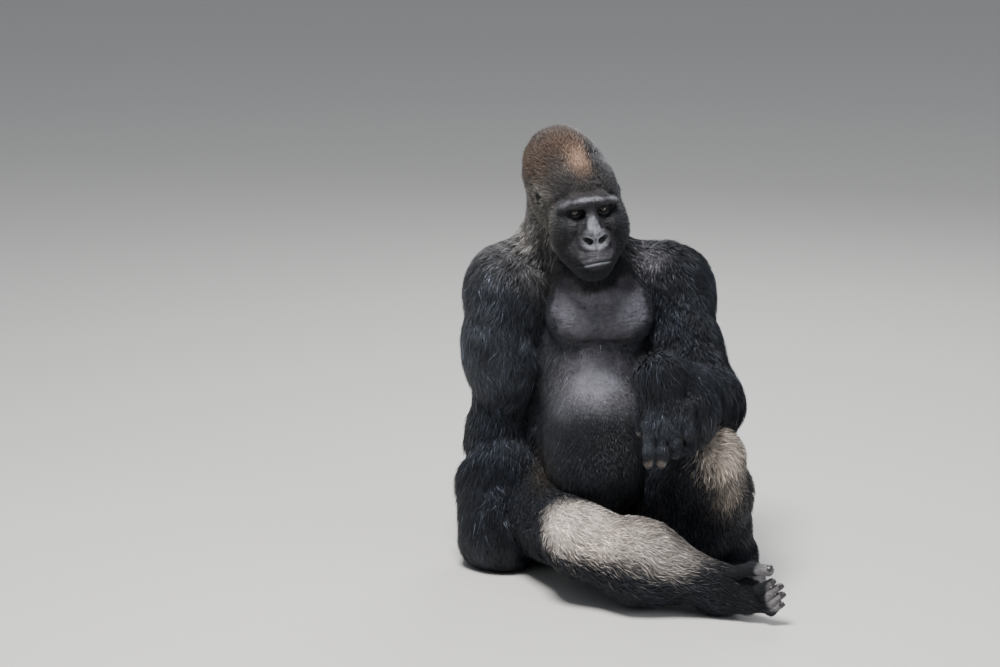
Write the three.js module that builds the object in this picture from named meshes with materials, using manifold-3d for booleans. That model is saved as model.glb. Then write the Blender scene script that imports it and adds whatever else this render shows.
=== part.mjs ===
// An adult male western lowland gorilla at life size, sitting upright on the floor: its right arm
// hangs straight to the ground, its left forearm lies across the raised left knee, and its right
// shin crosses in front of its left foot.
// Millimetres, +Z up. The origin is on the floor under the middle of the seat, and the animal
// faces -Y. Every solid reaches to the tips of the coat.
import * as THREE from "three";
import { mergeVertices } from "three/addons/utils/BufferGeometryUtils.js";
import Module from "manifold-3d";

const wasm = await Module();
wasm.setup();

const gap = 0.3; // left between neighbouring solids
const blockSize = 3000; // cutting blocks, wider than the animal
const sides = [["right", -1], ["left", 1]];

// The joints, which set the pose.
const joint = {
  right: {
    shoulder: [-200, 0, 665], elbow: [-218, 70, 310], wrist: [-214, -70, 85],
    hip: [-115, -10, 140], knee: [-30, -335, 142], calf: [100, -395, 110], ankle: [285, -450, 68],
  },
  left: {
    shoulder: [180, 50, 665], elbow: [260, -215, 440], wrist: [130, -445, 570],
    hip: [115, -10, 150], knee: [268, -300, 335], calf: [288, -210, 230], ankle: [322, -140, 88],
  },
};

// ---- Flesh: a form is a function that gives the distance from a point to its surface ----

const vector = (p) => new THREE.Vector3(...p);

function ball(centre, radii) {
  return (p) => {
    const v = centre.map((c, i) => (p.getComponent(i) - c) / radii[i]);
    const near = Math.hypot(...v);
    const slope = Math.hypot(...v.map((x, i) => x / radii[i]));
    return slope < 1e-9 ? -Math.min(...radii) : (near * (near - 1)) / slope;
  };
}

// A bone tapers from one radius to another, and may be flattened across one direction to a share of its width.
function bone(from, to, start, end = start, across = null, share = 1) {
  const line = new THREE.Line3(vector(from), vector(to));
  const flat = across && vector(across).normalize();
  return (p) => {
    const t = line.closestPointToPointParameter(p, true);
    const off = line.at(t, new THREE.Vector3()).sub(p);
    if (flat) off.addScaledVector(flat, off.dot(flat) * (1 / share - 1));
    return (off.length() - THREE.MathUtils.lerp(start, end, t)) * share;
  };
}

const joined = (...forms) => (p) => Math.min(...forms.map((form) => form(p)));

// The smaller of two distances, rounded over a width where they are nearly equal.
function melt(a, b, width) {
  const near = Math.max(width - Math.abs(a - b), 0) / width;
  return Math.min(a, b) - (near * near * width) / 4;
}

const melted = (width, ...forms) => (p) => forms.map((form) => form(p)).reduce((a, b) => melt(a, b, width));

// ---- Skins: a closed faceted surface round a path, where the flesh ends ----

// The point where a ray that starts inside the flesh leaves it, grown outwards by some distance.
function surfacePoint(form, from, direction, grown) {
  const p = new THREE.Vector3();
  const depth = (t) => form(p.copy(direction).multiplyScalar(t).add(from)) - grown;
  let near = 0;
  let far = 0;
  while (far < blockSize) {
    const d = depth(far);
    if (d > 0) break;
    near = far;
    far += Math.max(-0.7 * d, 0.8);
  }
  if (far === 0) throw new Error(`a path leaves its flesh at ${from.toArray().map(Math.round)}`);
  for (let step = 0; step < 14; step++) {
    const middle = (near + far) / 2;
    if (depth(middle) > 0) far = middle;
    else near = middle;
  }
  return direction.clone().multiplyScalar(near).add(from);
}

// Rings of rays leave the path square to it, and at both ends they fan out to a pole.
// A focus draws the rays together towards the front.
function wrap({ form, path, front = [0, -1, 0], around, along, fan = 0.3, focus = 0 }, grown = 0) {
  const curve = new THREE.CatmullRomCurve3(path.map(vector), false, "centripetal");
  const points = [];
  for (let i = 0; i <= along; i++) {
    const s = i / along;
    const onPath = THREE.MathUtils.clamp((s - fan) / (1 - 2 * fan), 0, 1);
    const lean = ((Math.max(0, s - 1 + fan) - Math.max(0, fan - s)) / fan) * (Math.PI / 2);
    const centre = curve.getPointAt(onPath);
    const axis = curve.getTangentAt(onPath);
    const across = new THREE.Vector3().crossVectors(axis, vector(front)).normalize();
    const ahead = new THREE.Vector3().crossVectors(across, axis);
    const pole = i === 0 || i === along;
    for (let j = 0; j < (pole ? 1 : around); j++) {
      const even = ((j + 0.5 * (i % 2)) / around) * 2 * Math.PI;
      const turn = even - focus * Math.sin(even);
      const ray = ahead.clone().multiplyScalar(Math.cos(turn)).addScaledVector(across, Math.sin(turn));
      ray.multiplyScalar(Math.cos(lean)).addScaledVector(axis, Math.sin(lean)).normalize();
      points.push(surfacePoint(form, centre, ray, grown));
    }
  }
  const last = points.length - 1;
  const at = (i, j) => (i === 0 ? 0 : i === along ? last : 1 + (i - 1) * around + (j % around));
  const faces = [];
  for (let i = 0; i < along; i++) {
    for (let j = 0; j < around; j++) {
      const [a, b, c, d] = [at(i, j), at(i, j + 1), at(i + 1, j), at(i + 1, j + 1)];
      const split = i % 2 ? [[a, b, d], [a, d, c]] : [[a, b, c], [b, d, c]];
      faces.push(...split.filter((face) => new Set(face).size === 3).flat());
    }
  }
  return new THREE.BufferGeometry().setFromPoints(points).setIndex(faces);
}

// ---- Solids for cutting and joining ----

function solidFrom(geometry) {
  const bare = new THREE.BufferGeometry().setAttribute("position", geometry.getAttribute("position"));
  const merged = mergeVertices(bare.setIndex(geometry.index), 1e-4);
  return new wasm.Manifold(new wasm.Mesh({
    numProp: 3,
    vertProperties: new Float32Array(merged.attributes.position.array),
    triVerts: new Uint32Array(merged.index.array),
  }));
}

function geometryFrom(solid) {
  const { vertProperties, triVerts } = solid.getMesh();
  const made = new THREE.BufferGeometry().setAttribute("position", new THREE.BufferAttribute(vertProperties, 3));
  const faceted = made.setIndex(new THREE.BufferAttribute(triVerts, 1)).toNonIndexed();
  faceted.computeVertexNormals();
  return faceted;
}

// All space on one side of a plane, as a block.
function halfSpace(point, normal) {
  const block = new THREE.BoxGeometry(blockSize, blockSize, blockSize).translate(0, 0, blockSize / 2);
  const turn = new THREE.Quaternion().setFromUnitVectors(vector([0, 0, 1]), vector(normal).normalize());
  return solidFrom(block.applyQuaternion(turn).translate(...point));
}

const largest = (solid) => solid.decompose().sort((a, b) => b.volume() - a.volume())[0];
const aboveFloor = halfSpace([0, 0, 0], [0, 0, 1]);

// Parts a solid with thin cuts, and gives the pieces from the first plane's near side onwards.
function parted(solid, planes) {
  const pieces = [];
  let rest = solid;
  for (const { point, normal } of planes) {
    const away = vector(normal).normalize().multiplyScalar(gap).add(vector(point)).toArray();
    pieces.push(largest(rest.subtract(halfSpace(point, normal))));
    rest = largest(rest.intersect(halfSpace(away, normal)));
  }
  return [...pieces, rest];
}

// ---- Head, in its own frame: the origin midway between the eyes, facing -Y ----

const headPlace = { position: [-15, -215, 905], yaw: 9.6, nod: 2, tilt: -5.8 };
const pair = (make) => sides.map(([, s]) => make(s));

const faceLine = (z) => -3 + 0.045 * z; // the middle of the face leans to its right on the way down

const skull = melted(29,
  ball([-8, 97, 34], [85, 116, 97]),
  ball([-38, 138, 80], [90, 101, 96]), // crest, leaning over the right temple
  ball([-60, 132, 29], [55, 82, 97]),
  ball([43, 87, -4], [42, 68, 80]),
  ball([-2, 46, 50], [62, 60, 56]), // forehead
  ball([-4, 10, -45], [48, 42, 62]), // behind the nose
  ...pair((s) => ball([58 * s, 34, -53], [37, 48, 63])), // cheek hair
  ball([-4, 29, -112], [66, 73, 53]), // lower jaw
);
const features = melted(18,
  bone([-32, -17, 25], [27, -17, 25], 13.5), // brow bar, then its drooping ends
  bone([-32, -17, 25], [-60, 4, 14], 13.5, 11),
  bone([27, -17, 25], [55, 2, 16], 13.5, 11),
  ...pair((s) => ball([45 * s - 2, 2, -33], [25, 27, 22])), // cheekbones
  bone([faceLine(10), 0, 10], [faceLine(-44), -34, -42], 12, 19), // bridge of the nose
  ...pair((s) => ball([faceLine(-58) + 18 * s, -50, -58], [21, 19, 20])), // wings of the nose
  ball([faceLine(-98), -21, -97], [51, 54, 40]), // muzzle
  ball([faceLine(-136), -15, -137], [43, 46, 29]), // chin
);
const hollow = (centre, radii) => ({
  form: ball(centre, radii), path: [-2, 2].map((dy) => [centre[0], centre[1] + dy, centre[2]]),
  front: [0, 0, 1], around: 8, along: 5, fan: 0.45,
});
const hollows = [
  ...pair((s) => hollow([33 * s - 3, -14, -4], [18.5, 15, 12])), // eye sockets
  ...pair((s) => hollow([faceLine(-58) + 16 * s, -71, -59], [10, 10, 6])), // nostrils
];
const wholeHead = {
  form: melted(18, skull, features),
  path: [[-12, 92, 58], [-2, 60, 0], [0, 14, -92]], around: 24, along: 25, fan: 0.22, focus: 0.6,
};
const lips = { point: [0, -80, -119], normal: [0, 0.36, -1] }; // the plane between them rises to the jaw's hinge

const eyes = sides.map(([side, s]) => ({
  name: `eye_${side}`, form: ball([33 * s - 3, 8, -4], [15, 15, 15]),
  path: [[33 * s - 3, 6, -4], [33 * s - 3, 10, -4]], front: [0, 0, 1], around: 8, along: 6, fan: 0.45,
}));
const ears = sides.map(([side, s]) => {
  const [x, y, z] = [-11 + 93 * s, 87 + 13 * s, 15 - 8 * s];
  return {
    name: `ear_${side}`, form: ball([x, y, z], [14, 18, 25]),
    path: [[x, y, z - 7], [x, y, z + 7]], around: 8, along: 6, fan: 0.4,
  };
});

// ---- Trunk and neck ----

const wholeTrunk = {
  form: joined(
    melted(60,
      ball([0, 35, 146], [195, 180, 153]), // pelvis
      ...pair((s) => ball([95 * s + 5, 100, 118], [110, 130, 123])), // rump
      ball([10, -55, 345], [130, 200, 185]), // belly
      ball([14, -125, 270], [120, 150, 105]), // lower belly
      ball([5, 30, 530], [160, 160, 200]), // rib cage
      ball([0, 100, 440], [185, 130, 240]), // back
      ball([0, 75, 290], [188, 150, 150]), // loins
      ball([0, 90, 640], [200, 130, 120]), // shoulder blades
    ),
    melted(30,
      ball([13, -40, 640], [132, 105, 95]), // breast
      ...pair((s) => ball([13 + 57 * s, -92, 621], [70, 60, 65])), // chest muscles
    ),
    melted(50,
      ball([0, 90, 640], [200, 130, 120]),
      bone([-170, 50, 690], [-70, 50, 780], 85, 80), // the slopes from neck to shoulder
      bone([150, 60, 690], [50, 60, 710], 85, 80),
      ball([0, -80, 725], [85, 80, 65]), // throat
    ),
  ),
  path: [[0, 20, 130], [5, 0, 330], [5, 35, 540], [0, 50, 690]], around: 20, along: 17, fan: 0.24,
};
const trunkCuts = [
  { point: [0, 0, 235], normal: [0, 0.2, 1] }, // pelvis from abdomen
  { point: [0, -160, 568], normal: [0, 0.25, 1] }, // abdomen from chest, under the breast
];

const neck = {
  name: "neck", finish: "coat",
  form: bone([-50, 75, 715], [-55, -30, 898], 130, 106),
  path: [[-48, 50, 730], [-54, -20, 875]], around: 12, along: 6,
};

// ---- Arms ----

const upperArms = [
  {
    name: "upper_arm_right", finish: "coat",
    form: melted(50, ball([-203, 15, 665], [98, 110, 113]), bone(joint.right.shoulder, joint.right.elbow, 98, 76),
      ball([-213, 10, 530], [102, 100, 120])),
    path: [joint.right.shoulder, joint.right.elbow], around: 12, along: 9,
  },
  {
    name: "upper_arm_left", finish: "coat",
    form: melted(50, ball([190, 35, 662], [95, 110, 108]), bone(joint.left.shoulder, joint.left.elbow, 92, 80)),
    path: [joint.left.shoulder, joint.left.elbow], around: 12, along: 9,
  },
];

const forearms = [
  {
    name: "forearm_right", finish: "coat", // its long hair spreads to the ground
    form: melted(40, bone(joint.right.elbow, joint.right.wrist, 88, 85),
      bone([-212, 10, 200], [-212, -30, 95], 122, 120, [0, 0.7, 0.7], 0.7), ball([-212, -52, 60], [100, 64, 70])),
    path: [joint.right.elbow, [-214, 5, 190], [-212, -40, 85]], around: 12, along: 9,
  },
  {
    name: "forearm_left", finish: "coat",
    form: melted(40, bone(joint.left.elbow, joint.left.wrist, 83, 50), ball([192, -402, 470], [88, 70, 95])),
    path: [joint.left.elbow, [190, -335, 490], joint.left.wrist], around: 12, along: 9,
  },
];

const palms = [
  {
    name: "hand_right", finish: "skin", // folded back, its knuckles on the ground
    form: bone([-224, -55, 64], [-246, 15, 30], 46, 54, [0, 0.3, 1], 0.6),
    path: [[-224, -55, 64], [-246, 15, 30]], front: [0, 0, 1], around: 10, along: 6,
  },
  {
    name: "hand_left", finish: "skin", // hanging from the wrist
    form: bone([132, -450, 565], [156, -460, 470], 45, 60, [0, 1, 0], 0.62),
    path: [[132, -450, 565], [156, -460, 470]], around: 10, along: 6,
  },
];

// ---- Legs ----

const thighs = [
  {
    name: "thigh_right", finish: "coat", form: bone(joint.right.hip, joint.right.knee, 135, 78),
    path: [joint.right.hip, joint.right.knee], front: [0, 0, 1], around: 12, along: 6,
  },
  {
    name: "thigh_left", finish: "coat",
    form: melted(40, bone(joint.left.hip, joint.left.knee, 132, 66), ball([226, -145, 175], [84, 100, 112])),
    path: [joint.left.hip, joint.left.knee], front: [0, 0, 1], around: 12, along: 7,
  },
];

const shins = [
  {
    name: "lower_leg_right", finish: "coat",
    form: melted(40, bone(joint.right.knee, joint.right.calf, 85, 96), bone(joint.right.calf, joint.right.ankle, 96, 50)),
    path: [joint.right.knee, joint.right.calf, joint.right.ankle], front: [0, 0, 1], around: 12, along: 10,
  },
  {
    name: "lower_leg_left", finish: "coat",
    form: melted(40, bone(joint.left.knee, joint.left.calf, 73, 78), bone(joint.left.calf, joint.left.ankle, 78, 62),
      ball([262, -190, 115], [62, 75, 72])), // the long hair of the calf
    path: [joint.left.knee, joint.left.calf, joint.left.ankle], around: 12, along: 9,
  },
];

const soles = [
  {
    name: "foot_right", finish: "skin", // on its outer edge, the sole turned away
    form: melted(30, ball([275, -425, 46], [50, 50, 50]), bone([290, -455, 62], [338, -486, 58], 52, 48, [-0.5, -0.8, 0.2], 0.6)),
    path: [[280, -432, 50], [335, -484, 58]], front: [0, 0, 1], around: 12, along: 7,
  },
  {
    name: "foot_left", finish: "skin", // flat on the ground
    form: melted(30, ball([345, -100, 41], [43, 50, 45]), bone([342, -145, 48], [348, -262, 30], 50, 54, [0, 0, 1], 0.62)),
    path: [[345, -105, 42], [347, -250, 30]], front: [0, 0, 1], around: 12, along: 8,
  },
];

// ---- Fingers and toes: each bends at one knuckle, from the row's first to its last ----

const spread = { hand: { right: 24.5, left: 30 }, foot: 24.5 }; // from one finger or toe to the next
const rowNames = { hand: ["index", "middle", "ring", "little"], foot: [2, 3, 4, 5].map((n) => `toe_${n}`) };
const rows = [
  { part: "hand", side: "right", radii: [15.5, 12.5], points: (i) => [-209 - spread.hand.right * i, 0, 0, [20, 30], [80, 15], [100, 55]] },
  {
    part: "hand", side: "left", radii: [15.5, 12.5],
    points: (i) => [114 + spread.hand.left * i, 0, [0, 0, 22, 45][i], [-462, 455], [-474, 395], [-435, 358]],
  },
  { part: "foot", side: "left", radii: [14.5, 12], points: (i) => [385 - spread.foot * i, -5 * i, 0, [-268, 29], [-310, 26], [-334, 13]] },
].map(({ part, side, radii, points }) => rowNames[part].map((name, i) => {
  const [x, dy, dz, ...bends] = points(i);
  return { name: `${name}_${side}`, radii, bends: bends.map(([y, z]) => [x, y + dy, z + dz]) };
}));
// The toes of the right foot lie one above the other, curled, and each rises to its tip.
const stackedToes = [[[366, 86], [392, 104]], [[381, 70], [410, 93]], [[390, 52], [415, 73]], [[392, 34], [413, 50]]].map(
  ([[kneeX, kneeZ], [tipX, tipZ]], i) => ({
    name: `${rowNames.foot[i]}_right`, radii: [12, 9.5],
    bends: [[346 + 3 * i, -492, 82 - 15 * i], [kneeX, -524, kneeZ], [tipX, -527, tipZ]],
  }));
const thumbs = [
  { name: "thumb_right", radii: [16, 12.5], bends: [[-194, 12, 54], [-188, 46, 50], [-194, 76, 48]] },
  { name: "thumb_left", radii: [16, 12.5], bends: [[104, -430, 510], [92, -428, 465], [96, -420, 430]] },
  { name: "great_toe_right", radii: [17, 14.5], bends: [[312, -482, 112], [348, -512, 130], [384, -522, 129]] },
  { name: "great_toe_left", radii: [18, 14.5], bends: [[312, -195, 32], [288, -245, 22], [280, -280, 15]] },
];
const digits = [...rows.flat(), ...stackedToes, ...thumbs].map(({ name, radii: [root, tip], bends: [a, b, c] }) => {
  const middle = (root + tip) / 2;
  const steep = Math.abs(c[2] - a[2]) > Math.abs(c[1] - a[1]);
  return {
    name, finish: "skin", form: melted(6, bone(a, b, root, middle), bone(b, c, middle, tip)),
    path: [a, b, c], front: steep ? [0, -1, 0] : [0, 0, 1], around: 6, along: 4, fan: 0.26,
  };
});

// ---- Assembly: each piece gives way to those before it ----

const finishes = {
  coat: new THREE.MeshStandardMaterial({ color: 0x1f1e20, roughness: 0.85, metalness: 0 }),
  skin: new THREE.MeshStandardMaterial({ color: 0x232226, roughness: 0.55, metalness: 0 }),
  eye: new THREE.MeshStandardMaterial({ color: 0x2a1508, roughness: 0.15, metalness: 0 }),
};

const gorilla = new THREE.Group();
const head = new THREE.Group();
head.position.set(...headPlace.position);
head.rotation.set(...[headPlace.nod, headPlace.tilt, headPlace.yaw].map(THREE.MathUtils.degToRad), "ZXY");
gorilla.add(head);
head.updateMatrixWorld(true);

const placed = []; // what later pieces are cut by, grown by the gap

function addMesh(parent, name, finish, solid) {
  const mesh = new THREE.Mesh(geometryFrom(solid), finishes[finish]);
  mesh.name = name;
  parent.add(mesh);
}

function meets(a, b) {
  const [p, q] = [a.boundingBox(), b.boundingBox()];
  return p.min.every((low, i) => low < q.max[i] && q.min[i] < p.max[i]);
}

const clearOf = (solid, others) => largest(others.filter((o) => meets(solid, o)).reduce((s, o) => s.subtract(o), solid));
const inWorld = (shape, grown) => solidFrom(wrap(shape, grown).applyMatrix4(head.matrixWorld));

for (const eye of eyes) addMesh(head, eye.name, "eye", solidFrom(wrap(eye)));
const eyeRoom = eyes.map((eye) => solidFrom(wrap(eye, gap)));
const headSolid = clearOf(solidFrom(wrap(wholeHead)), [...hollows.map((h) => solidFrom(wrap(h))), ...eyeRoom]);
const [upperHead, jaw] = parted(headSolid, [lips]);
addMesh(head, "head", "coat", upperHead);
addMesh(head, "jaw", "skin", jaw);
const headRoom = solidFrom(wrap(wholeHead, gap));
for (const ear of ears) {
  addMesh(head, ear.name, "skin", clearOf(solidFrom(wrap(ear)), [headRoom]));
  placed.push(inWorld(ear, gap));
}
placed.push(inWorld(wholeHead, gap));

function addPieces(pieces) {
  for (const piece of pieces) {
    const solid = clearOf(solidFrom(wrap(piece)), placed).intersect(aboveFloor);
    addMesh(gorilla, piece.name, piece.finish, largest(solid));
    placed.push(solidFrom(wrap(piece, gap)));
  }
}

const isFinger = (digit) => !digit.name.includes("toe");
addPieces([...palms, ...digits.filter(isFinger), ...forearms, ...upperArms, neck]);
const trunkSolid = clearOf(solidFrom(wrap(wholeTrunk)), placed).intersect(aboveFloor);
parted(trunkSolid, trunkCuts).forEach((solid, i) => {
  addMesh(gorilla, ["pelvis", "abdomen", "chest"][i], i === 2 ? "skin" : "coat", solid);
});
placed.push(solidFrom(wrap(wholeTrunk, gap)));
addPieces([...soles, ...digits.filter((digit) => !isFinger(digit)), ...shins, ...thighs]);

export default gorilla;
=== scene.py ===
import math
import time

import bpy
import numpy as np
import openvdb
from mathutils import Matrix, Vector


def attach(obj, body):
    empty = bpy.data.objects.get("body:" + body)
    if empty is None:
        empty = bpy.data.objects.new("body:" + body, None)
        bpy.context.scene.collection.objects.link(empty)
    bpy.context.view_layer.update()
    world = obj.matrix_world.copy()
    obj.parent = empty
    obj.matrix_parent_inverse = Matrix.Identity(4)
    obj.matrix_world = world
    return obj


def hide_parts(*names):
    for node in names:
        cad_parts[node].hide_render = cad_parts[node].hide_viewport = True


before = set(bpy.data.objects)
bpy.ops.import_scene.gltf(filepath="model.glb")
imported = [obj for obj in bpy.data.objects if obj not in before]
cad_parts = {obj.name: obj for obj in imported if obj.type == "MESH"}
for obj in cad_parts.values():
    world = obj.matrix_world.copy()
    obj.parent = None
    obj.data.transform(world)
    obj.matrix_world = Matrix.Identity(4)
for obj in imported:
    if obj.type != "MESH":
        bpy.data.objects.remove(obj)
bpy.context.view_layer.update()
started = time.time()
mm = 0.001
rng = np.random.default_rng(7)
sides = (("right", -1), ("left", 1))


def stage(words):
    print(f"[{time.time() - started:6.1f} s] {words}", flush=True)


# Vectors made one long.
def unit(v):
    v = np.asarray(v, float)
    return v / np.maximum(np.linalg.norm(v, axis=-1, keepdims=True), 1e-9)


# From 0 at low to 1 at high, with t^2 (3 - 2t) between.
def smooth(low, high, x):
    t = np.clip((x - low) / (high - low), 0, 1)
    return t * t * (3 - 2 * t)


# A rounded ridge or dent: exp(-(x / width)^2).
def bump(x, width):
    return np.exp(-(x / width) ** 2)


def turned(axis, degrees):
    return np.array(Matrix.Rotation(math.radians(degrees), 3, axis))


headTurn = turned("Z", 9.6) @ turned("X", 2) @ turned("Y", -5.8)
headPlace = np.array([-15, -215, 905]) * mm
down = (0, 0, -1)


# The forms that the body is made of: each says how deep its coat is and how its hair lies.
# A ball is an ellipsoid, with half-widths in mm.
def ball(centre, radii, coat, lie=down, turn=None):
    return {
        "centre": np.array(centre) * mm,
        "radii": np.array(radii) * mm,
        "turn": np.eye(3) if turn is None else turn,
        "coat": coat * mm,
        "lie": unit(lie),
        "reach": max(radii) * mm,
    }


# A bone runs from a start to an end, its radius from one to the other; share flattens it along across.
def bone(start, end, startRadius, endRadius, coat, lie=None, across=None, share=1.0):
    a = np.array(start) * mm
    b = np.array(end) * mm
    return {
        "start": a,
        "line": b - a,
        "centre": (a + b) / 2,
        "reach": np.linalg.norm(b - a) / 2 + max(startRadius, endRadius) * mm,
        "startRadius": startRadius * mm,
        "endRadius": endRadius * mm,
        "across": None if across is None else unit(across),
        "share": share,
        "coat": coat * mm,
        "lie": unit(b - a if lie is None else lie),
    }


# A point of the head's own frame, in the body's, both in mm.
def inHead(point):
    return (headPlace + headTurn @ (np.array(point) * mm)) / mm


# The middle of the face leans a little to its right on the way down: x in mm for a height z.
def faceLine(z):
    return -3 + 0.045 * z


def headBall(centre, radii, coat, lie=(0, 1, 0.3)):
    return ball(inHead(centre), radii, coat, headTurn @ unit(lie), headTurn)


def headBone(start, end, startRadius, endRadius):
    return bone(inHead(start), inHead(end), startRadius, endRadius, 0.5, headTurn @ unit((0, 0.5, 1)))


# How far points are from an ellipsoid: near (near - 1) / slope, with near the length of offset / radii
# and slope the length of offset / radii^2.
def ellipsoid(points, centre, radii):
    offset = points - np.array(centre)
    near = np.linalg.norm(offset / np.array(radii), axis=1)
    slope = np.linalg.norm(offset / np.square(radii), axis=1)
    return near * (near - 1) / np.maximum(slope, 1e-6)


# How far points are from a form; for a bone, the length of the offset from its line less its radius there.
def distance(form, p):
    if "radii" in form:
        return ellipsoid((p - form["centre"]) @ form["turn"], np.zeros(3), form["radii"])
    line = form["line"]
    off = p - form["start"]
    t = np.clip(off @ line / (line @ line), 0, 1)
    off = off - t[:, None] * line
    if form["across"] is not None:
        off = off + ((off @ form["across"]) * (1 / form["share"] - 1))[:, None] * form["across"]
    radius = form["startRadius"] + (form["endRadius"] - form["startRadius"]) * t
    return (np.linalg.norm(off, axis=1) - radius) * form["share"]


# The smaller of two distances, rounded over a width where they are nearly equal.
def melt(a, b, width):
    near = np.maximum(width - np.abs(a - b), 0) / width
    return np.minimum(a, b) - near * near * width / 4


# Where the limbs bend, in mm.
right = {
    "shoulder": (-200, 0, 665), "elbow": (-218, 70, 310), "wrist": (-214, -70, 85),
    "hip": (-115, -10, 140), "knee": (-30, -335, 142), "calf": (100, -395, 110), "ankle": (285, -450, 68),
}
left = {
    "shoulder": (180, 50, 665), "elbow": (260, -215, 440), "wrist": (130, -445, 570),
    "hip": (115, -10, 150), "knee": (268, -300, 335), "calf": (288, -210, 230), "ankle": (322, -140, 88),
}

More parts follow.
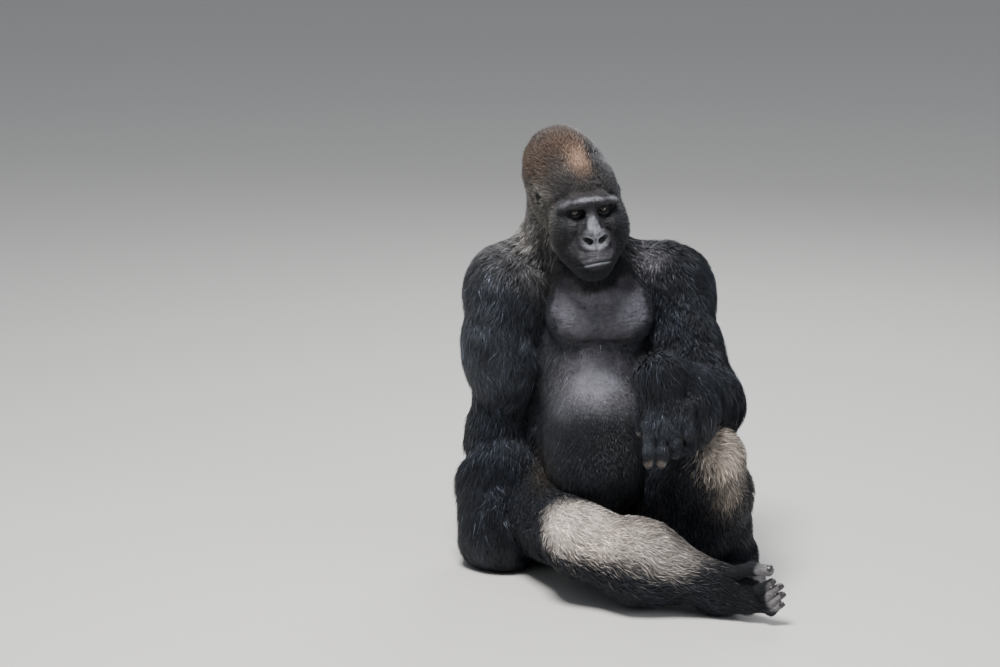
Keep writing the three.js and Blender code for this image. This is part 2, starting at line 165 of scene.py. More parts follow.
# The body plan: forms of the coat's outside, each with the coat's depth that the skin lies below it.
plan = {
    "pelvis": ball((0, 35, 146), (195, 180, 153), 11, (0, 0.3, -1)),
    "rumpRight": ball((-90, 100, 118), (110, 130, 123), 11, (-0.2, 0.5, -1)),
    "rumpLeft": ball((100, 100, 118), (110, 130, 123), 11, (0.2, 0.5, -1)),
    "belly": ball((10, -55, 345), (130, 200, 185), 3, (0, -0.1, -1)),
    "lowBelly": ball((14, -125, 270), (120, 150, 105), 7, (0.1, -0.1, -1)),
    "ribs": ball((5, 30, 530), (160, 160, 200), 5),
    "back": ball((0, 100, 440), (185, 130, 240), 11),
    "loins": ball((0, 75, 290), (188, 150, 150), 11),
    "upperBack": ball((0, 90, 640), (200, 130, 120), 13),
    "breast": ball((13, -40, 640), (132, 105, 95), 3, (0, -0.2, -1)),
    "pecRight": ball((-44, -92, 621), (70, 60, 65), 2.5),
    "pecLeft": ball((70, -92, 621), (70, 60, 65), 2.5),
    "slopeRight": bone((-170, 50, 690), (-70, 50, 780), 85, 80, 12, (-0.5, -0.2, -0.8)),
    "slopeLeft": bone((150, 60, 690), (50, 60, 710), 85, 80, 11, (0.5, -0.2, -0.8)),
    "throat": ball((0, -80, 725), (85, 80, 65), 4),
    "neck": bone((-50, 75, 715), (-55, -30, 898), 130, 106, 14, (-0.25, 0.25, -1)),
    "gullet": bone((-62, -112, 822), (28, -112, 822), 42, 36, 8, (0, 0.2, -1)),
    "deltRight": ball((-203, 15, 665), (98, 110, 113), 13, (-0.25, 0, -1)),
    "upperRight": bone(right["shoulder"], right["elbow"], 98, 76, 15),
    "bicepsRight": ball((-213, 10, 530), (102, 100, 120), 15),
    "foreRight": bone(right["elbow"], right["wrist"], 88, 85, 18),
    "foreHairRight": bone((-212, 10, 200), (-212, -30, 95), 122, 120, 18, (-0.1, -0.2, -1),
                          (0, 0.7, 0.7), 0.7),
    "cuffRight": ball((-212, -52, 60), (100, 64, 70), 18, (-0.1, -0.3, -1)),
    "deltLeft": ball((190, 35, 662), (95, 110, 108), 13, (0.25, 0, -1)),
    "upperLeft": bone(left["shoulder"], left["elbow"], 92, 80, 15, (0.1, -0.3, -1)),
    "foreLeft": bone(left["elbow"], left["wrist"], 83, 50, 15, (0.35, -0.55, -0.7)),
    "foreHairLeft": ball((192, -402, 470), (88, 70, 95), 16, (0.15, -0.15, -1)),
    "thighRight": bone(right["hip"], right["knee"], 135, 78, 9, (0.3, -0.6, -0.6)),
    "thighLeft": bone(left["hip"], left["knee"], 132, 66, 9, (0.2, 0.2, -1)),
    "hamLeft": ball((226, -145, 175), (84, 100, 112), 9, (0.2, 0.2, -1)),
    "calfRight": bone(right["knee"], right["calf"], 85, 96, 7),
    "shinRight": bone(right["calf"], right["ankle"], 96, 50, 7),
    "calfLeft": bone(left["knee"], left["calf"], 73, 78, 7),
    "shinLeft": bone(left["calf"], left["ankle"], 78, 62, 8),
    "calfHairLeft": ball((262, -190, 115), (62, 75, 72), 9, (0.3, 0, -1)),
    "palmRight": bone((-224, -55, 64), (-246, 15, 30), 46, 54, 4, across=(0, 0.3, 1), share=0.6),
    "palmLeft": bone((132, -450, 565), (156, -460, 470), 45, 60, 6, (0.05, -0.1, -1), (0, 1, 0), 0.62),
    "heelRight": ball((275, -425, 46), (50, 50, 50), 4, (0.8, -0.5, 0)),
    "midRight": bone((290, -455, 62), (338, -486, 58), 52, 48, 3, across=(-0.5, -0.8, 0.2), share=0.6),
    "heelLeft": ball((345, -100, 41), (43, 50, 45), 4, (0, -1, -0.2)),
    "midLeft": bone((342, -145, 48), (348, -262, 30), 50, 54, 3, across=(0, 0, 1), share=0.62),
    "cranium": headBall((-8, 97, 34), (85, 116, 97), 7, (-0.1, 1, 0.2)),
    "crest": headBall((-38, 138, 80), (90, 101, 96), 8, (-0.1, 1, 0.1)),
    "templeRight": headBall((-60, 132, 29), (55, 82, 97), 10, (-0.2, 0.7, -0.5)),
    "templeLeft": headBall((43, 87, -4), (42, 68, 80), 8, (0.2, 0.7, -0.5)),
    "forehead": headBall((-2, 46, 50), (62, 60, 56), 3, (0, 0.6, 1)),
    "midFace": headBall((-4, 10, -45), (48, 42, 62), 0.5),
    "cheekRight": headBall((-58, 34, -53), (37, 48, 63), 5, (-0.2, 0.9, -0.6)),
    "cheekLeft": headBall((58, 34, -53), (37, 48, 63), 5, (0.2, 0.9, -0.6)),
    "lowerJaw": headBall((-4, 29, -112), (66, 73, 53), 5, (0, 0.6, -0.8)),
    "brow": headBone((-36, -20, 20), (24, -22, 23), 13, 13),
    "browRight": headBone((-36, -20, 20), (-68, 3, 10), 13, 11),
    "browLeft": headBone((24, -22, 23), (56, -8, 15), 13, 11),
    "cheekboneRight": headBall((-47, 2, -33), (25, 27, 22), 0.5),
    "cheekboneLeft": headBall((43, 2, -33), (25, 27, 22), 0.5),
    "bridge": headBone((faceLine(10), 0, 10), (faceLine(-44), -34, -42), 12, 19),
    "noseRight": headBall((faceLine(-58) - 16, -50, -56), (19, 17, 18), 0.5),
    "noseLeft": headBall((faceLine(-58) + 16, -50, -56), (19, 17, 18), 0.5),
    "muzzle": headBall((faceLine(-98), -21, -97), (51, 54, 40), 0.5),
    "chin": headBall((faceLine(-136), -15, -137), (43, 46, 29), 1.5),
    "earRight": headBall((-104, 74, 22), (13, 19, 26), 0.5),
    "earLeft": headBall((82, 100, 7), (13, 18, 24), 0.5),
}

# Fingers and toes, each bent at one knuckle: its root, knuckle and tip, and the radii at root and tip.
spread = 24.5
fingerLeftRaised = (0, 0, 22, 45)
toeRightKnuckles = ((366, 86), (381, 70), (390, 52), (392, 34))  # x and z
toeRightTips = ((392, 104), (410, 93), (415, 73), (413, 50))
digitBends = {}
for n in range(4):
    raised = fingerLeftRaised[n]
    x = -209 - spread * n
    digitBends[f"fingerRight{n}"] = ((x, 20, 30), (x, 80, 15), (x, 100, 55), 15.5, 12.5)
    x = 114 + 30 * n
    z = (455 + raised, 395 + raised, 358 + raised)
    digitBends[f"fingerLeft{n}"] = ((x, -462, z[0]), (x, -474, z[1]), (x, -435, z[2]), 15.5, 12.5)
    x = 385 - spread * n
    y = -268 - 5 * n
    digitBends[f"toeLeft{n}"] = ((x, y, 29), (x, y - 42, 26), (x, y - 66, 13), 14.5, 12)
    knuckle = toeRightKnuckles[n]
    tip = toeRightTips[n]
    digitBends[f"toeRight{n}"] = (
        (346 + 3 * n, -492, 82 - 15 * n), (knuckle[0], -524, knuckle[1]), (tip[0], -527, tip[1]), 12, 9.5)
digitBends["thumbRight"] = ((-194, 12, 54), (-188, 46, 50), (-194, 76, 48), 16, 12.5)
digitBends["thumbLeft"] = ((104, -430, 510), (92, -428, 465), (96, -420, 430), 16, 12.5)
digitBends["greatToeRight"] = ((312, -482, 112), (348, -512, 130), (384, -522, 129), 17, 14.5)
digitBends["greatToeLeft"] = ((312, -195, 32), (288, -245, 22), (280, -280, 15), 18, 14.5)
for name, (a, b, c, root, tip) in digitBends.items():
    plan[name + "Root"] = bone(a, b, root, (root + tip) / 2, 1.5)
    plan[name + "Tip"] = bone(b, c, (root + tip) / 2, tip, 1)


# A group's members melt into each other over a width in mm.
def group(width, *names):
    return (width * mm, [plan[n] if isinstance(n, str) else n for n in names])


skull = group(29, "cranium", "crest", "templeRight", "templeLeft", "forehead", "midFace", "cheekRight",
              "cheekLeft", "lowerJaw")
features = group(18, "brow", "browRight", "browLeft", "cheekboneRight", "cheekboneLeft", "bridge",
                 "noseRight", "noseLeft", "muzzle", "chin")
flesh = [
    group(60, "pelvis", "rumpRight", "rumpLeft", "belly", "lowBelly", "ribs", "back", "loins", "upperBack"),
    group(30, "breast", "pecRight", "pecLeft"),
    group(50, "breast", "upperBack", "throat", "neck"),
    group(50, "upperBack", "ribs", "slopeRight", "slopeLeft", "neck", "deltRight", "deltLeft"),
    group(18, skull, features),
    group(40, "neck", "cranium", "crest", "templeRight"),
    group(40, "neck", "throat", "gullet", "lowerJaw"),
    group(7, "cranium", "templeRight", "earRight"),
    group(7, "cranium", "templeLeft", "earLeft"),
    group(50, "deltRight", "upperRight", "bicepsRight"),
    group(40, "upperRight", "foreRight", "foreHairRight", "cuffRight"),
    group(50, "deltLeft", "upperLeft"),
    group(40, "upperLeft", "foreLeft", "foreHairLeft"),
    group(20, "foreHairLeft", "palmLeft"),
    group(40, "thighRight", "calfRight", "shinRight"),
    group(40, "thighLeft", "calfLeft", "shinLeft", "hamLeft", "calfHairLeft"),
    group(60, "pelvis", "rumpRight", "thighRight"),
    group(60, "pelvis", "rumpLeft", "thighLeft"),
    group(30, "foreRight", "palmRight"),
    group(30, "foreLeft", "palmLeft"),
    group(30, "shinRight", "heelRight", "midRight"),
    group(30, "shinLeft", "heelLeft", "midLeft"),
]
for name in digitBends:
    base = "palm" if name.startswith(("finger", "thumb")) else "mid"
    side = "Right" if "Right" in name else "Left"
    flesh.append(group(12, base + side, name + "Root", name + "Tip"))


# All the forms of a group, with those of its own groups.
def leaves(node):
    if isinstance(node, dict):
        return [node]
    return [leaf for child in node[1] for leaf in leaves(child)]


fieldReach = 30 * mm
fleshBoxes = []
for node in flesh:
    low = np.min([f["centre"] - f["reach"] for f in leaves(node)], axis=0) - fieldReach
    high = np.max([f["centre"] + f["reach"] for f in leaves(node)], axis=0) + fieldReach
    fleshBoxes.append((node, low, high))


# The distance to a group: its members' distances, melted one after another.
def depthIn(node, p, bare):
    if isinstance(node, dict):
        return distance(node, p) + (node["coat"] if bare else 0)
    width, members = node
    value = depthIn(members[0], p, bare)
    for member in members[1:]:
        value = melt(value, depthIn(member, p, bare), width)
    return value


# The face's details, in the head's own frame in mm.
eyeSize = 14.0
eyeCentres = {s: np.array([33.0 * s - 3, 7.0, -4.0]) for _, s in sides}
noseLine = faceLine(-58)


# How far points are from a tube through some stations, of a radius given at each.
def tube(q, stations, radii):
    best = np.full(len(q), 1e3)
    for a, b, ra, rb in zip(stations[:-1], stations[1:], radii[:-1], radii[1:]):
        line = np.subtract(b, a)
        off = q - np.array(a)
        t = np.clip(off @ line / (line @ line), 0, 1)
        best = melt(best, np.linalg.norm(off - t[:, None] * line, axis=1) - ra - (rb - ra) * t, 2)
    return best


# A wing of the nose: from its top over the outside and under the nostril to the lip's groove.
wingStations = [(9, -62, -42), (22, -56, -42), (32, -46, -52),
                (31, -48, -66), (20, -61, -77), (7, -66, -82)]
wingRadii = [5, 6.5, 6.5, 7.5, 8.5, 6.5]
nostrilStations = [(24, -60, -54), (14, -71, -61), (4, -77, -66)]
nostrilRadii = [4.5, 7, 4.5]
nostrilDepths = [(13, -66, -62), (11, -53, -64)]
nostrilDepthRadii = [6, 4]
browHighlight = [(-71, -6, 19), (-39, -28, 28), (-8, -33, 31), (22, -33, 32), (54, -19, 25), (62, -6, 14)]
earRecesses = {-1: ((-110, 70, 22), (9, 9, 15)), 1: ((88, 96, 7), (9, 9, 15))}


# How far above the line between the lips: z + 109.5 + 0.004 (x - middle)^2, an arch whose ends droop
# and whose middle is 10 mm to the left of the face's.
def lipRise(x, z):
    return z + 109.5 + 0.004 * (x - faceLine(-118) - 10) ** 2


# Stations of the nose's one side, on side s.
def mirrored(stations, s):
    return [(noseLine + x * s, y, z) for x, y, z in stations]


# The distance d with the face's hollows, lids, nose, lips and creases worked into it.
def carveFace(q, d):
    x, y, z = q.T
    for _, s in sides:
        eye = eyeCentres[s]
        d = -melt(-d, ellipsoid(q, (eye[0], -15, eye[2] + 1), (20, 17, 13)), 9)
        # Lids: a shell over the eyeball, cut by a slit that rises to its outer corner.
        d = melt(d, np.linalg.norm(q - eye, axis=1) - eyeSize - 2.2, 6)
        across = (x - eye[0]) * s
        height = z - eye[2] - 0.08 * across
        bow = np.maximum(1 - (across / 13.5) ** 2, 0)
        slit = np.maximum(height - 4.6 * bow, -height - 3.8 * bow)
        slit = np.maximum(slit, np.maximum(np.abs(across) - 12.5, y - eye[1]))
        d = -melt(-d, slit, 1.6)
        # The upper lid's fold, and two folds below the eye.
        reach = np.hypot(across, height * 1.15)
        front = smooth(4, -6, y)
        for radius, depth, above in ((15.5, 1.3, 1), (17.5, 1.2, -1), (22.5, 0.9, -1)):
            fold = bump(reach - radius, 1.3) * smooth(-3, 5, height * above) * front
            d = d + depth * fold
        d = melt(d, tube(q, mirrored(wingStations, s), wingRadii), 5)
        d = -melt(-d, tube(q, mirrored(nostrilStations, s), nostrilRadii), 2)
        d = -melt(-d, tube(q, mirrored(nostrilDepths, s), nostrilDepthRadii), 2)
        # The crease round the wing, and the fold from it down past the mouth's corner.
        around = tube(q, mirrored([(39, -36, -52), (39, -38, -68), (30, -50, -82)], s), [0, 0, 0])
        d = d + 1.5 * bump(around, 4)
        cheek = tube(q, mirrored([(30, -20, -30), (45, -24, -70), (52, -10, -112)], s), [0, 0, 0])
        d = d + 1.6 * bump(cheek, 5)
    # The groove down the nose tip and the upper lip.
    groove = 2.4 * bump(x - faceLine(z), 1.8) * smooth(-104, -96, z) * smooth(-52, -60, z)
    d = d + groove * smooth(-30, -50, y)
    # Furrows between and over the brows.
    for offset in (-7, 0, 8):
        furrow = 1.1 * bump(x - faceLine(10) - offset, 1.4) * smooth(0, 8, z) * smooth(40, 30, z)
        d = d + furrow * smooth(0, -12, y)
    front = smooth(8, -18, y)
    off = x - faceLine(-118)
    lipLine = lipRise(x, z)
    wide = smooth(44, 36, np.abs(off))
    d = d + 3.6 * bump(lipLine, 1.5) * front * wide
    d = d - 1.6 * bump(lipLine - 5, 4) * front * wide - 4.2 * bump(lipLine + 6, 4.5) * front * wide
    for _, s in sides:
        d = -melt(-d, ellipsoid(q, *earRecesses[s]), 3)
    return d


# The whole body's distance in metres: the least of its groups', and never below the floor. With bare it
# is the skin's, which has the face and chest carved, and without it the coat's outside.
def fieldAt(points, bare=True):
    value = np.full(len(points), fieldReach)
    for node, low, high in fleshBoxes:
        inside = np.nonzero(np.all((points > low) & (points < high), axis=1))[0]
        if len(inside):
            value[inside] = np.minimum(value[inside], depthIn(node, points[inside], bare))
    if bare:
        q = (points - headPlace) @ headTurn / mm
        face = np.nonzero(np.all(np.abs(q - (-10, 5, -50)) < (115, 115, 110), axis=1))[0]
        if len(face):
            value[face] = carveFace(q[face], value[face] / mm) * mm
        chest = (np.abs(points[:, 0]) < 0.15) & (points[:, 1] < -0.10)
        front = np.nonzero(chest & (points[:, 2] > 0.46) & (points[:, 2] < 0.72))[0]
        if len(front):
            x, y, z = points[front].T / mm
            # The groove between the chest muscles, and folds of skin that sag under them.
            groove = 7 * bump(x - 13, 12) * smooth(575, 605, z) * smooth(715, 660, z)
            folds = 1.3 * np.sin((z + 0.0012 * (x - 13) ** 2 + 5 * np.sin(x * 0.045)) * 0.42)
            value[front] += (groove + folds * smooth(470, 510, z) * smooth(578, 558, z)) * mm
    return np.maximum(value, (1.0 * mm - points[:, 2]) if bare else -points[:, 2])


# The field's slope, from its change over a step each way.
def gradientAt(points, step=0.6 * mm):
    slopes = []
    for axis in range(3):
        shift = np.zeros(3)
        shift[axis] = step
        slopes.append((fieldAt(points + shift) - fieldAt(points - shift)) / (2 * step))
    return np.stack(slopes, axis=1)


# The field's zero surface on an even grid, its quads cut in two along the shorter diagonal.
def gridSurface(cell):
    low = np.min([b[1] for b in fleshBoxes], axis=0)
    low[2] = -4 * cell
    high = np.max([b[2] for b in fleshBoxes], axis=0)
    counts = np.ceil((high - low) / cell).astype(int)
    axes = [low[i] + cell * np.arange(counts[i]) for i in range(3)]
    points = np.stack(np.meshgrid(*axes, indexing="ij"), axis=-1).reshape(-1, 3)
    values = fieldAt(points).reshape(counts).astype(np.float32)
    grid = openvdb.FloatGrid(float(fieldReach))
    grid.copyFromArray(values)
    vertices, quads = grid.convertToQuads(isovalue=0.0)
    vertices = vertices.astype(float) * cell + low
    quads = quads.astype(np.int64)
    diagonal = np.linalg.norm(vertices[quads[:, 0]] - vertices[quads[:, 2]], axis=1)
    other = np.linalg.norm(vertices[quads[:, 1]] - vertices[quads[:, 3]], axis=1)
    short = (diagonal <= other)[:, None, None]
    first = np.stack([quads[:, [0, 1, 2]], quads[:, [0, 2, 3]]], axis=1)
    second = np.stack([quads[:, [0, 1, 3]], quads[:, [1, 2, 3]]], axis=1)
    triangles = np.where(short, first, second).reshape(-1, 3)
    a, b, c = (vertices[triangles[:, i]] for i in range(3))
    if np.einsum("ij,ij->", a, np.cross(b, c)) < 0:
        triangles = triangles[:, ::-1]
    return vertices, triangles


# Splits the marked triangles in four, and their neighbours in two or three, so the mesh stays closed.
def refined(vertices, triangles, marked):
    ends = np.sort(triangles[:, [[0, 1], [1, 2], [2, 0]]].reshape(-1, 2), axis=1)
    edges, edgeOf = np.unique(ends, axis=0, return_inverse=True)
    edgeOf = edgeOf.reshape(-1, 3)
    cut = np.zeros(len(edges), bool)
    cut[edgeOf[marked].ravel()] = True
    middle = np.full(len(edges), -1)
    middle[cut] = len(vertices) + np.arange(cut.sum())
    vertices = np.vstack([vertices, vertices[edges[cut]].mean(axis=1)])
    m = middle[edgeOf]
    count = (m >= 0).sum(axis=1)
    shift = np.zeros(len(m), int)
    shift[count == 1] = np.argmax(m[count == 1] >= 0, axis=1)
    shift[count == 2] = (np.argmax(m[count == 2] < 0, axis=1) + 1) % 3
    order = (np.arange(3) + shift[:, None]) % 3
    corners = np.take_along_axis(triangles, order, axis=1)
    m = np.take_along_axis(m, order, axis=1)
    a, b, c = corners.T
    p, q, r = m.T
    one = count == 1
    two = count == 2
    three = count == 3
    pieces = [
        corners[count == 0],
        np.stack([a, p, c], 1)[one], np.stack([p, b, c], 1)[one],
        np.stack([p, b, q], 1)[two], np.stack([a, p, q], 1)[two], np.stack([a, q, c], 1)[two],
        np.stack([a, p, r], 1)[three], np.stack([p, b, q], 1)[three],
        np.stack([r, q, c], 1)[three], np.stack([p, q, r], 1)[three],
    ]
    return vertices, np.vstack(pieces)


# Each vertex goes a share of the way to the mean of its neighbours.
def relaxed(vertices, triangles, share):
    total = np.zeros_like(vertices)
    count = np.zeros(len(vertices))
    for i, j in ((0, 1), (1, 2), (2, 0)):
        for a, b in ((i, j), (j, i)):
            near = vertices[triangles[:, b]]
            for axis in range(3):
                total[:, axis] += np.bincount(triangles[:, a], near[:, axis], len(vertices))
            count += np.bincount(triangles[:, a], minlength=len(vertices))
    return vertices + share * (total / np.maximum(count, 1)[:, None] - vertices)


# Each vertex steps onto the surface: by distance times slope over the slope's square, up to a reach.
def ontoField(vertices, reach, times=2):
    for _ in range(times):
        slope = gradientAt(vertices)
        steep = np.maximum(np.einsum("ij,ij->i", slope, slope), 0.2)
        step = fieldAt(vertices)[:, None] * slope / steep[:, None]
        far = np.linalg.norm(step, axis=1, keepdims=True)
        vertices = vertices - step * np.minimum(1, reach / np.maximum(far, 1e-9))
    return vertices


# Where the skin is refined: (centre in mm, radii in mm, levels), for the head in its own frame.
fineHead = [((0, -20, -50), (75, 75, 105), 2), ((0, -40, -40), (60, 60, 90), 3)]
fineBody = [
    ((13, -110, 640), (150, 90, 90), 1),
    ((-240, 30, 30), (80, 110, 75), 2), ((140, -455, 440), (80, 60, 130), 2),
    ((390, -510, 75), (75, 70, 80), 2), ((335, -270, 25), (85, 110, 60), 2),
    ((-105, -135, 920), (30, 40, 40), 2), ((62, -103, 925), (30, 40, 40), 2),
]


# How many times the skin is split at each point.
def wantedLevel(points):
    level = np.zeros(len(points), int)
    q = (points - headPlace) @ headTurn / mm
    for where, spots in ((q, fineHead), (points / mm, fineBody)):
        for centre, radii, levels in spots:
            inside = np.linalg.norm((where - centre) / np.array(radii), axis=1) < 1
            level[inside] = np.maximum(level[inside], levels)
    return level


skinSettings = {
    "cell": 9.0 * mm, "quickCell": 11.0 * mm,
    "specular": 0.38, "hairedRoughness": 0.95, "bareRoughness": 0.50,
    "wrinkles": 95.0, "wrinkleStretch": (0.35, 0.35, 1.6), "creases": 300.0, "grain": 110.0,
}
cell = skinSettings["cell"]
vertices, triangles = gridSurface(cell)
vertices = ontoField(relaxed(vertices, triangles, 0.5), cell)
stage(f"grid surface, {len(triangles)} triangles")
for level in (1, 2, 3):
    marked = wantedLevel(vertices[triangles].mean(axis=1)) >= level
    vertices, triangles = refined(vertices, triangles, marked)
    vertices = ontoField(relaxed(vertices, triangles, 0.4), cell / 2 ** level)
vertices = ontoField(relaxed(vertices, triangles, 0.25), cell / 4)
stage(f"skin, {len(triangles)} triangles")


# A vertex's normal: the sum of the cross products of its triangles' edges, made one long.
def vertexNormals(vertices, triangles):
    a, b, c = (vertices[triangles[:, i]] for i in range(3))
    face = np.cross(b - a, c - a)
    total = np.zeros_like(vertices)
    for i in range(3):
        for axis in range(3):
            total[:, axis] += np.bincount(triangles[:, i], face[:, axis], len(vertices))
    return unit(total)


normals = vertexNormals(vertices, triangles)


# Smooth noise from -1 to 1: hashed numbers at a lattice's corners, blended with t^2 (3 - 2t) each way.
def noiseAt(points, spacing, seed):
    q = points / spacing
    base = np.floor(q).astype(np.int64)
    t = q - base
    t = t * t * (3 - 2 * t)
    total = np.zeros(len(points))
    for corner in np.ndindex(2, 2, 2):
        key = (base + corner) @ np.array([73856093, 19349663, 83492791]) + seed * 2654435761
        key = ((key ^ (key >> 13)) * 1274126177) & 0x7FFFFFFF
        value = ((key ^ (key >> 16)) & 0xFFFF) / 32767.5 - 1
        total += value * np.prod(np.where(corner, t, 1 - t), axis=1)
    return total


# Markings, shared by skin and coat, with some painted highlights and painted shade, as patches of colour
# laid over each other: (frame, centre in mm, radii in mm, linear colour, softness).
coatBase = (0.0105, 0.0134, 0.0205)
patches = [
    ("body", (0, 120, 660), (240, 130, 150), (0.030, 0.030, 0.032), 0.5),
    ("body", (0, 210, 330), (200, 110, 230), (0.190, 0.188, 0.190), 0.5),
    # Chest and belly tone seen through the short hair, partly lightened as painted highlight that blends
    # into the one below.
    ("body", (2, -180, 492), (155, 135, 88), (0.105, 0.104, 0.120), 0.9),
    # A painted highlight: the overhead light on the belly's upper side.
    ("body", (-12, -240, 480), (150, 90, 56), (0.200, 0.198, 0.224), 0.9),
    ("body", (-110, -100, 250), (45, 100, 60), (0.034, 0.028, 0.024), 0.6),
    ("body", (-60, -380, 196), (90, 110, 54), (0.870, 0.775, 0.700), 0.45),
    ("body", (45, -415, 172), (125, 90, 46), (0.800, 0.700, 0.625), 0.5),
    ("body", (155, -440, 142), (85, 90, 38), (0.390, 0.350, 0.315), 0.7),
    ("body", (290, -340, 350), (44, 60, 66), (0.640, 0.550, 0.470), 0.5),
    ("body", (305, -290, 270), (38, 60, 75), (0.270, 0.230, 0.195), 0.6),
    ("body", (-115, 25, 825), (120, 125, 140), (0.225, 0.212, 0.202), 0.5),
    ("body", (-190, 10, 770), (100, 120, 60), (0.070, 0.069, 0.074), 0.6),
    ("body", (-150, -20, 808), (42, 75, 32), (0.340, 0.320, 0.300), 0.6),
    ("body", (-112, -100, 800), (25, 60, 75), (0.007, 0.008, 0.011), 0.45),
    ("body", (126, -488, 460), (60, 60, 60), (0.032, 0.037, 0.049), 0.7),
    ("body", (-235, -50, 560), (90, 90, 150), (0.046, 0.054, 0.070), 0.6),
    # Dark hair under the chin, deepened with painted shade from the chin.
    ("body", (0, -120, 745), (120, 120, 55), (0.007, 0.008, 0.011), 0.5),
    # Paler skin through sparse hair at the left shoulder, with a painted sheen on it.
    ("body", (125, -8, 757), (38, 52, 30), (0.140, 0.132, 0.148), 0.7),
    ("body", (0, -260, 370), (150, 90, 62), (0.006, 0.008, 0.012), 0.9),
    ("body", (335, -490, 80), (80, 80, 80), (0.006, 0.007, 0.010), 0.4),
    ("head", (-100, 80, -20), (52, 80, 100), (0.190, 0.178, 0.162), 0.5),
    ("head", (-30, 110, 115), (110, 130, 80), (0.078, 0.064, 0.057), 0.7),
    ("head", (-106, 90, 110), (32, 75, 48), (0.090, 0.056, 0.037), 0.6),
    ("head", (-48, 60, 146), (52, 60, 28), (0.110, 0.070, 0.050), 0.6),
    ("head", (-7, 34, 104), (25, 52, 42), (0.220, 0.142, 0.098), 0.7),
    ("head", (0, 20, 44), (74, 60, 30), (0.040, 0.035, 0.034), 0.5),
    ("head", (50, 60, 85), (22, 70, 70), (0.050, 0.050, 0.056), 0.6),
    ("head", (20, 52, 106), (13, 70, 44), (0.008, 0.009, 0.012), 0.6),
    ("head", (0, -20, -95), (90, 110, 75), (0.012, 0.013, 0.017), 0.4),
    ("head", (-62, 24, -50), (30, 50, 75), (0.020, 0.020, 0.023), 0.5),
    ("head", (75, 30, -40), (30, 60, 90), (0.022, 0.024, 0.029), 0.5),
]


# The coat's colour. A patch fades out where the distance over its radii goes from 1 - softness to
# 1 + softness, its outline drifts by a slow noise, and two finer noises vary the tone.
def tintAt(points):
    drift = 9 * np.stack([noiseAt(points, 40 * mm, seed) for seed in (1, 2, 3)], axis=1)
    p = points / mm + drift
    q = (points - headPlace) @ headTurn / mm + 0.6 * drift
    tint = np.tile(coatBase, (len(points), 1))
    for where, centre, radii, colour, softness in patches:
        near = np.linalg.norm(((q if where == "head" else p) - centre) / np.array(radii), axis=1)
        share = 1 - smooth(1 - softness, 1 + softness, near)
        tint = tint + share[:, None] * (np.array(colour) - tint)
    return tint * np.exp(0.22 * noiseAt(points, 34 * mm, 4) + 0.18 * noiseAt(points, 11 * mm, 5))[:, None]


# Where the skin is bare: (frame, centre in mm, radii in mm).
bareSpots = [
    ("head", (-2, -28, -50), (57, 62, 88)), ("head", (-7, -64, -112), (38, 28, 20)),
    ("body", (13, -120, 640), (122, 85, 76)), ("body", (-72, -130, 698), (50, 62, 42)),
    ("body", (80, -125, 698), (50, 62, 42)),
    ("body", (4, -195, 520), (142, 105, 60)), ("head", (-4, -22, 14), (76, 40, 22)),
    ("body", (-244, 45, 30), (75, 75, 50)), ("body", (131, -450, 350), (36, 50, 26)),
    ("body", (408, -530, 74), (33, 42, 46)), ("body", (380, -522, 131), (30, 40, 20)),
    ("body", (335, -290, 25), (75, 75, 50)),
    ("head", (-106, 72, 22), (11, 16, 22)), ("head", (84, 98, 7), (11, 16, 22)),
]


# How bare the skin is: 1 in a spot and 0 under the coat, fading from 0.8 to 1.1 of its radii with a
# ragged edge.
def bareAt(points):
    q = (points - headPlace) @ headTurn / mm
    bare = np.zeros(len(points))
    ragged = 0.14 * noiseAt(points, 16 * mm, 11)
    for where, centre, radii in bareSpots:
        p = q if where == "head" else points / mm
        near = np.linalg.norm((p - centre) / np.array(radii), axis=1) + ragged
        bare = np.maximum(bare, 1 - smooth(0.8, 1.1, near))
    return bare


# Shades of the bare skin, its own tones and some painted highlights and painted shade: (frame, centre in
# mm, radii in mm, linear colour).
skinShades = [
    ("body", (13, -120, 620), (150, 140, 150), (0.062, 0.058, 0.072)),
    # Painted shade over the top of the chest, below the chin.
    ("body", (13, -130, 722), (150, 120, 42), (0.026, 0.024, 0.031)),
    # A painted highlight on the middle of the chest, where the light falls.
    ("body", (13, -150, 640), (130, 110, 60), (0.088, 0.084, 0.103)),
    # Dark hair in a V under the chin, with painted shade from the chin.
    ("body", (-12, -180, 722), (52, 60, 32), (0.004, 0.005, 0.007)),
    # A painted highlight on the belly's upper side, from the overhead light.
    ("body", (-5, -235, 482), (165, 100, 68), (0.122, 0.120, 0.142)),
    ("body", (395, -520, 75), (75, 60, 90), (0.122, 0.115, 0.120)),
    ("body", (131, -450, 350), (45, 60, 36), (0.105, 0.092, 0.082)),
    ("body", (335, -290, 25), (90, 90, 60), (0.060, 0.057, 0.060)),
    # Painted highlights on the bridge and top of the nose, where sheen catches the light.
    ("head", (-4, -45, -34), (15, 40, 27), (0.120, 0.122, 0.140)),
    ("head", (noseLine, -58, -60), (34, 30, 27), (0.120, 0.122, 0.142)),
    ("head", (noseLine, -58, -100), (50, 40, 22), (0.068, 0.066, 0.075)),
]
